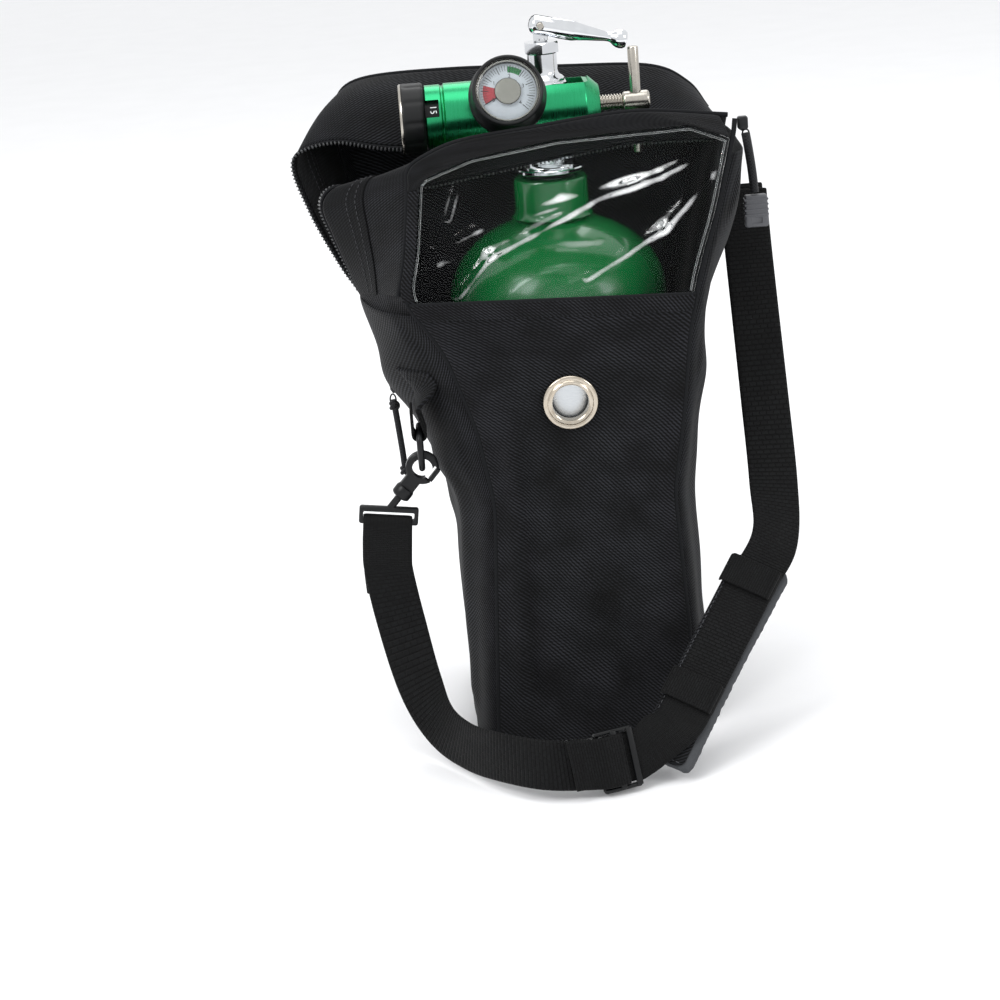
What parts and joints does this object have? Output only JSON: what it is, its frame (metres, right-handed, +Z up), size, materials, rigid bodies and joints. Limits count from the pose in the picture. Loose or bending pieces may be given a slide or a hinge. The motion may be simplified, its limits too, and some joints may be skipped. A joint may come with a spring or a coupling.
{
  "type": "portable oxygen cylinder kit",
  "caption": "Portable medical oxygen cylinder with post valve and click-flow yoke regulator, standing in a zipped shoulder bag with a clear window and a webbing strap.",
  "frame": {"origin": "centre of the bag's flat base, on the cylinder's axis", "axes": "+Z up along the cylinder's axis, -Y out through the front panel with its window, +X to the right of a person facing the front"},
  "size_m": [0.2443, 0.1963, 0.3637],
  "materials": {
    "green_paint": "gloss",
    "green_anodised": "satin",
    "chrome": "polished",
    "nickel": "satin",
    "brass": "machined",
    "black_rubber": "matte",
    "nylon_twill": "woven",
    "webbing": "woven",
    "black_plastic": "moulded",
    "grey_plastic": "moulded",
    "white_enamel": "matte",
    "clear_vinyl": "clear film",
    "clear_lens": "clear"
  },
  "bodies": {
    "bag": {"back_panel": "nylon_twill", "front_panel": "nylon_twill", "left_panel": "nylon_twill", "right_panel": "nylon_twill", "base_panel": "nylon_twill", "lid_gusset": "nylon_twill", "mouth_gusset": "nylon_twill", "window_film": "clear_vinyl", "grommet_eyelet": "nickel", "grommet_washer": "nickel", "lid_zip_chain": "grey_plastic", "mouth_zip_chain": "grey_plastic", "zip_slider_left": "nickel", "zip_slider_right": "nickel", "anchor_loop_left": "webbing", "anchor_loop_right": "webbing", "swivel_frame": "black_plastic", "strap_left": "webbing", "strap_right": "webbing"},
    "cylinder_unit": {"cylinder_shell": "green_paint", "neck_o_ring": "black_rubber", "valve_body": "chrome", "gland_nut": "chrome", "regulator_body": "green_anodised", "inlet_nipple": "brass", "yoke_washer": "brass", "index_pin_1": "nickel", "index_pin_2": "nickel", "piston_spring": "nickel", "hose_barb": "nickel", "gauge_stem": "brass", "gauge_case": "nickel", "gauge_boot": "black_rubber", "gauge_dial": "white_enamel", "gauge_hub_disc": "nickel", "gauge_lens": "clear_lens", "bourdon_tube": "brass"},
    "stem_unit": {"valve_stem": "chrome", "lever_pin": "nickel"},
    "lever": {"toggle_lever": "chrome"},
    "flow_control": {"flow_knob": "black_rubber", "knob_cap": "nickel", "number_ring": "black_plastic", "orifice_disc": "brass"},
    "pointer": {"gauge_pointer": "black_plastic"},
    "piston_unit": {"piston": "brass"},
    "clamp_carriage": {"thrust_pad": "nickel"},
    "clamp_handle": {"clamp_screw": "nickel", "t_bar": "nickel"},
    "left_pull": {"pull_cord_left": "webbing"},
    "right_pull": {"pull_cord_right": "webbing", "pull_tab_right": "grey_plastic"},
    "ring": {"d_ring_left": "black_plastic"},
    "hook": {"snap_hook": "black_plastic"},
    "gate": {"hook_gate": "black_plastic"},
    "pad": {"shoulder_pad": "black_rubber", "pad_band_lower": "webbing", "pad_band_upper": "webbing"},
    "adjuster": {"strap_adjuster": "grey_plastic"}
  },
  "joints": [
    {"name": "cylinder_lift", "type": "slide", "parent": "bag", "child": "cylinder_unit", "axis": [0, 0, 1], "range_m": [0, 0.03]},
    {"name": "stem_lift", "type": "slide", "parent": "cylinder_unit", "child": "stem_unit", "axis": [0, 0, 1], "range_m": [0, 0.0012]},
    {"name": "lever_turn", "type": "hinge", "parent": "stem_unit", "child": "lever", "pos_m": [0, 0, 0.3585], "axis": [0, -1, 0], "range_deg": [0, 100]},
    {"name": "knob_turn", "type": "hinge", "parent": "cylinder_unit", "child": "flow_control", "pos_m": [-0.0665, 0, 0.3175], "axis": [-1, 0, 0], "range_deg": [0, 330]},
    {"name": "pointer_turn", "type": "hinge", "parent": "cylinder_unit", "child": "pointer", "pos_m": [-0.0195, -0.03662, 0.3323], "axis": [0, 0.9272, -0.3746], "range_deg": [0, 250], "stiffness_Nm_per_rad": 0.0002, "springref_deg": -17.19},
    {"name": "piston_travel", "type": "slide", "parent": "cylinder_unit", "child": "piston_unit", "axis": [-1, 0, 0], "range_m": [0, 0.0015], "stiffness_N_per_m": 2000, "springref_m": -0.0005},
    {"name": "clamp_advance", "type": "slide", "parent": "cylinder_unit", "child": "clamp_carriage", "axis": [1, 0, 0], "range_m": [0, 0.0026]},
    {"name": "clamp_turn", "type": "hinge", "parent": "clamp_carriage", "child": "clamp_handle", "pos_m": [0.0455, 0, 0.3175], "axis": [1, 0, 0], "range_deg": [0, 720]},
    {"name": "left_pull_swing", "type": "hinge", "parent": "bag", "child": "left_pull", "pos_m": [-0.0894, -0.008, 0.1782], "axis": [0, 1, 0], "range_deg": [0, 60]},
    {"name": "right_pull_swing", "type": "hinge", "parent": "bag", "child": "right_pull", "pos_m": [0.0998, -0.0014, 0.2982], "axis": [0, -1, 0], "range_deg": [0, 30]},
    {"name": "ring_swing", "type": "hinge", "parent": "bag", "child": "ring", "pos_m": [-0.077, -0.05, 0.17], "axis": [0, 1, 0], "range_deg": [-2, 2]},
    {"name": "hook_swivel", "type": "hinge", "parent": "bag", "child": "hook", "pos_m": [-0.077, -0.05, 0.1506], "axis": [-0.6691, 0, -0.7431], "range_deg": [-6, 6]},
    {"name": "gate_press", "type": "hinge", "parent": "hook", "child": "gate", "pos_m": [-0.07387, -0.05, 0.14347], "axis": [0, -1, 0], "range_deg": [0, 6], "stiffness_Nm_per_rad": 0.05, "springref_deg": -5.73},
    {"name": "pad_slide", "type": "slide", "parent": "bag", "child": "pad", "axis": [0.5423, 0.493, 0.6803], "range_m": [0, 0.006]},
    {"name": "adjuster_slide", "type": "slide", "parent": "bag", "child": "adjuster", "axis": [0.9614, 0.2704, 0.0501], "range_m": [-0.006, 0]}
  ],
  "couplings": [
    {"joint": "stem_lift", "follows": "lever_turn", "m_per_rad": 0.00068},
    {"joint": "clamp_advance", "follows": "clamp_turn", "m_per_rad": 0.0002}
  ]
}
